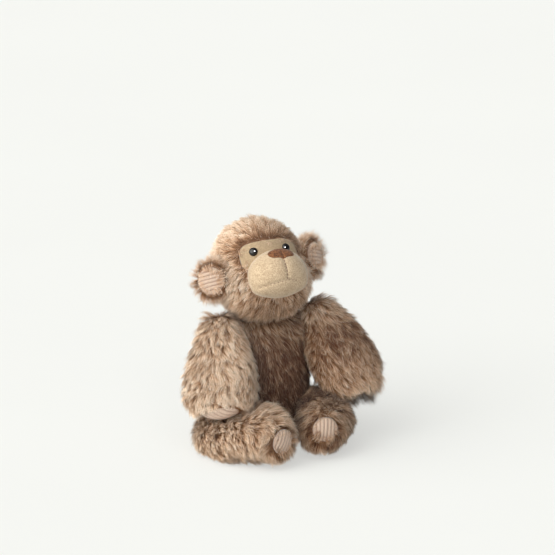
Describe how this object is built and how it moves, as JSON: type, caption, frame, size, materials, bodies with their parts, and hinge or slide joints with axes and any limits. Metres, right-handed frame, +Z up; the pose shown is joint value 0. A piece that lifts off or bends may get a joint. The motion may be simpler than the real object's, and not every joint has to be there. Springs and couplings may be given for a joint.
{
  "type": "plush monkey",
  "caption": "Seated long-pile plush monkey with a cream cloth face and muzzle, bead eyes and corduroy ears, palms and soles",
  "frame": {"origin": "on the surface that the toy sits on, under the middle of its whole box", "axes": "+Z up, the body faces -Y, and the toy's own right side is at -X"},
  "size_m": [0.19, 0.158, 0.2164],
  "materials": {
    "fur": "matte",
    "corduroy": "matte",
    "face_cloth": "matte",
    "nose_cloth": "matte",
    "eye_plastic": "gloss",
    "washer_plastic": "satin",
    "stuffing": "matte",
    "pellet_bag": "matte"
  },
  "bodies": {
    "torso": {"torso_skin": "fur", "torso_stuffing": "stuffing", "pellet_bag": "pellet_bag"},
    "head": {"head_skin": "fur", "head_stuffing": "stuffing", "face_patch": "face_cloth", "muzzle_skin": "face_cloth", "muzzle_stuffing": "stuffing", "nose": "nose_cloth", "eye_right": "eye_plastic", "eye_left": "eye_plastic", "eye_washer_right": "washer_plastic", "eye_washer_left": "washer_plastic", "ear_back_right": "fur", "ear_back_left": "fur", "ear_lining_right": "corduroy", "ear_lining_left": "corduroy"},
    "arm_right": {"arm_skin_right": "fur", "arm_stuffing_right": "stuffing", "palm_pad_right": "corduroy"},
    "arm_left": {"arm_skin_left": "fur", "arm_stuffing_left": "stuffing", "palm_pad_left": "corduroy"},
    "leg_right": {"leg_skin_right": "fur", "leg_stuffing_right": "stuffing", "sole_pad_right": "corduroy"},
    "leg_left": {"leg_skin_left": "fur", "leg_stuffing_left": "stuffing", "sole_pad_left": "corduroy"}
  },
  "joints": [
    {"name": "neck_turn", "type": "hinge", "parent": "torso", "child": "head", "pos_m": [-0.00712, 0.02771, 0.13], "axis": [0, 0, 1], "range_deg": [-35, 35]},
    {"name": "shoulder_right_swing", "type": "hinge", "parent": "torso", "child": "arm_right", "pos_m": [-0.05512, 0.01771, 0.114], "axis": [-1, 0, 0], "range_deg": [0, 60]},
    {"name": "shoulder_left_swing", "type": "hinge", "parent": "torso", "child": "arm_left", "pos_m": [0.04988, 0.02071, 0.113], "axis": [-1, 0, 0], "range_deg": [0, 60]},
    {"name": "hip_right_spread", "type": "hinge", "parent": "torso", "child": "leg_right", "pos_m": [-0.04612, 0.02671, 0.022], "axis": [0, 0, -1], "range_deg": [0, 40]},
    {"name": "hip_left_spread", "type": "hinge", "parent": "torso", "child": "leg_left", "pos_m": [0.03188, 0.02671, 0.022], "axis": [0, 0, 1], "range_deg": [0, 40]}
  ]
}
